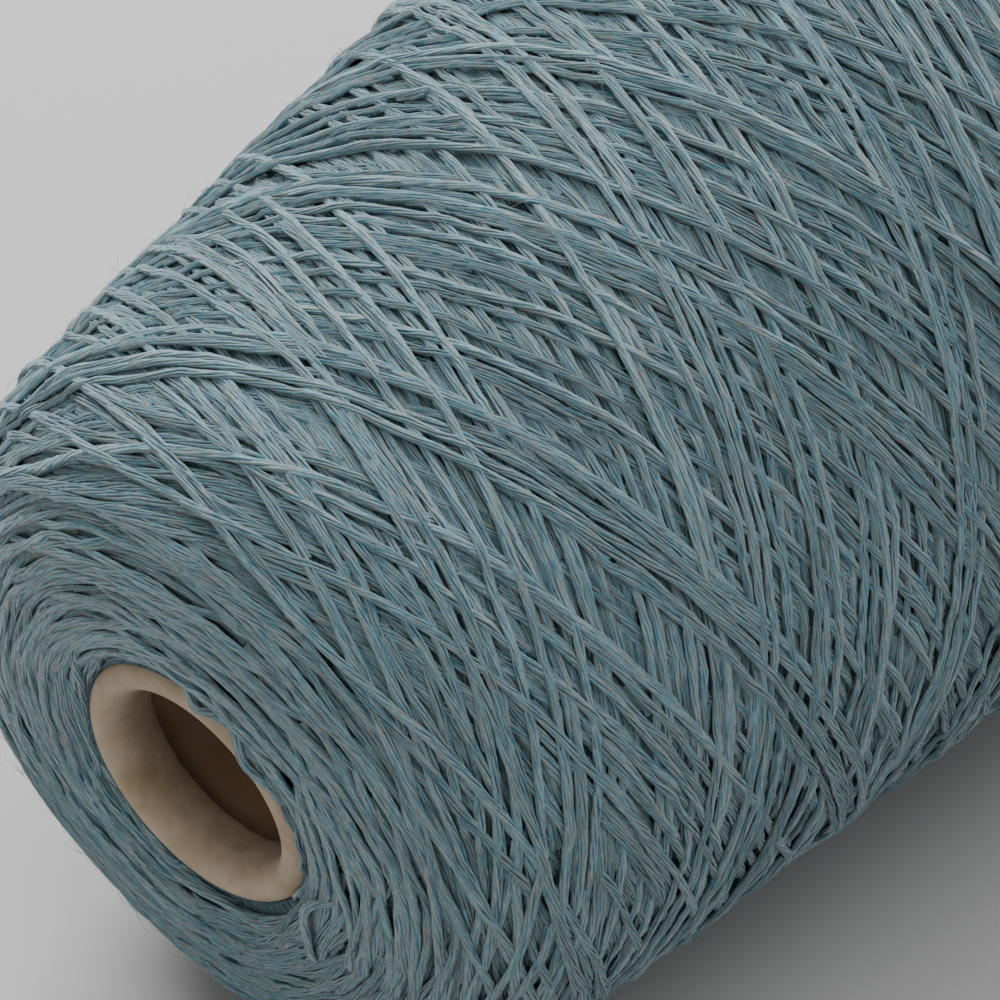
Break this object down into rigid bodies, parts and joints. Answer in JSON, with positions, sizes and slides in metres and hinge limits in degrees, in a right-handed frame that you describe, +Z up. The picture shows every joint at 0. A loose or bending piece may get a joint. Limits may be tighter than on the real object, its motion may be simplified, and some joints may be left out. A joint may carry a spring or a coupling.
{
  "type": "cone of knitting yarn",
  "caption": "Yarn cross-wound on a tapered paper cone, lying on its side as supply for a knitting or weaving machine.",
  "frame": {"origin": "on the table under the middle of the lying package, at the bottom centre of its bounding box", "axes": "+Z up from the table; +Y along the line on which the package lies, from the nose (narrow end) to the base (wide end); +X across. The cone's axis is in the YZ plane and climbs 5.95 degrees towards +Y"},
  "size_m": [0.1252, 0.1761, 0.1241],
  "materials": {
    "paper": "matte",
    "yarn": "matte"
  },
  "bodies": {
    "root": {"paper_cone": "paper", "yarn_winding": "yarn"}
  },
  "joints": []
}
